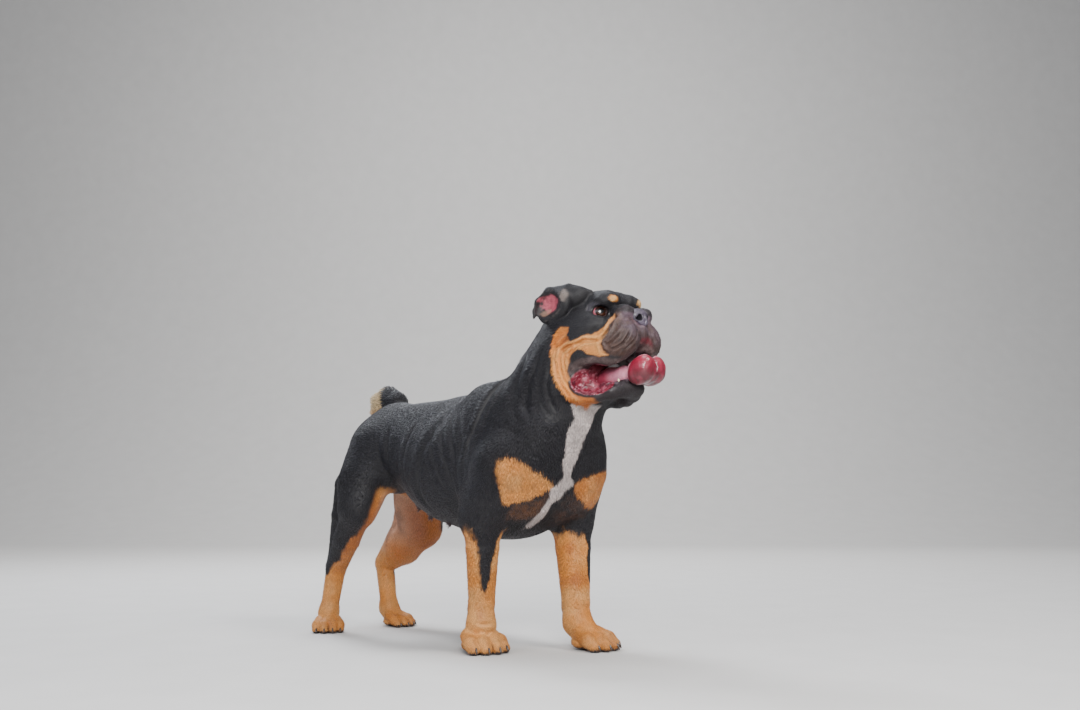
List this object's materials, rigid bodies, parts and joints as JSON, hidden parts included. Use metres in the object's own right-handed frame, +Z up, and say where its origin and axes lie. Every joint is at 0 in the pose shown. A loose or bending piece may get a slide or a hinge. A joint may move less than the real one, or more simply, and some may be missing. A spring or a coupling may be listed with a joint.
{
  "type": "english bulldog",
  "caption": "Life-size still model of a standing black-and-tan English bulldog, head raised, mouth open and tongue out.",
  "frame": {"origin": "middle of the box around the dog, on the floor it stands on", "axes": "+X towards the nose, +Y towards the dog's left side, +Z up"},
  "size_m": [0.7452, 0.2618, 0.5572],
  "materials": {
    "coat_black": "short sleek black fur",
    "coat_tan": "short tan fur",
    "ear_skin": "bare pink ear skin with short dark fur behind",
    "nose_leather": "pebbled, slightly moist",
    "tongue": "wet and glossy",
    "tooth": "enamel",
    "eye": "wet, clear front",
    "claw": "dark horn"
  },
  "bodies": {
    "root": {"eye_r": "eye", "ear_r": "ear_skin", "tooth_r": "tooth", "forearm_r": "coat_tan", "upper_arm_r": "coat_black", "shank_r": "coat_tan", "thigh_r": "coat_black", "front_paw_r": "coat_tan", "hind_paw_r": "coat_tan", "claw_front_r_1": "claw", "claw_hind_r_1": "claw", "claw_front_r_2": "claw", "claw_hind_r_2": "claw", "claw_front_r_3": "claw", "claw_hind_r_3": "claw", "claw_front_r_4": "claw", "claw_hind_r_4": "claw", "eye_l": "eye", "ear_l": "ear_skin", "tooth_l": "tooth", "forearm_l": "coat_tan", "upper_arm_l": "coat_black", "shank_l": "coat_tan", "thigh_l": "coat_black", "front_paw_l": "coat_tan", "hind_paw_l": "coat_tan", "claw_front_l_1": "claw", "claw_hind_l_1": "claw", "claw_front_l_2": "claw", "claw_hind_l_2": "claw", "claw_front_l_3": "claw", "claw_hind_l_3": "claw", "claw_front_l_4": "claw", "claw_hind_l_4": "claw", "nose": "nose_leather", "tongue": "tongue", "lower_jaw": "coat_tan", "head": "coat_black", "neck": "coat_black", "tail": "coat_black", "rump": "coat_black", "loin": "coat_black", "chest": "coat_black"}
  },
  "joints": []
}
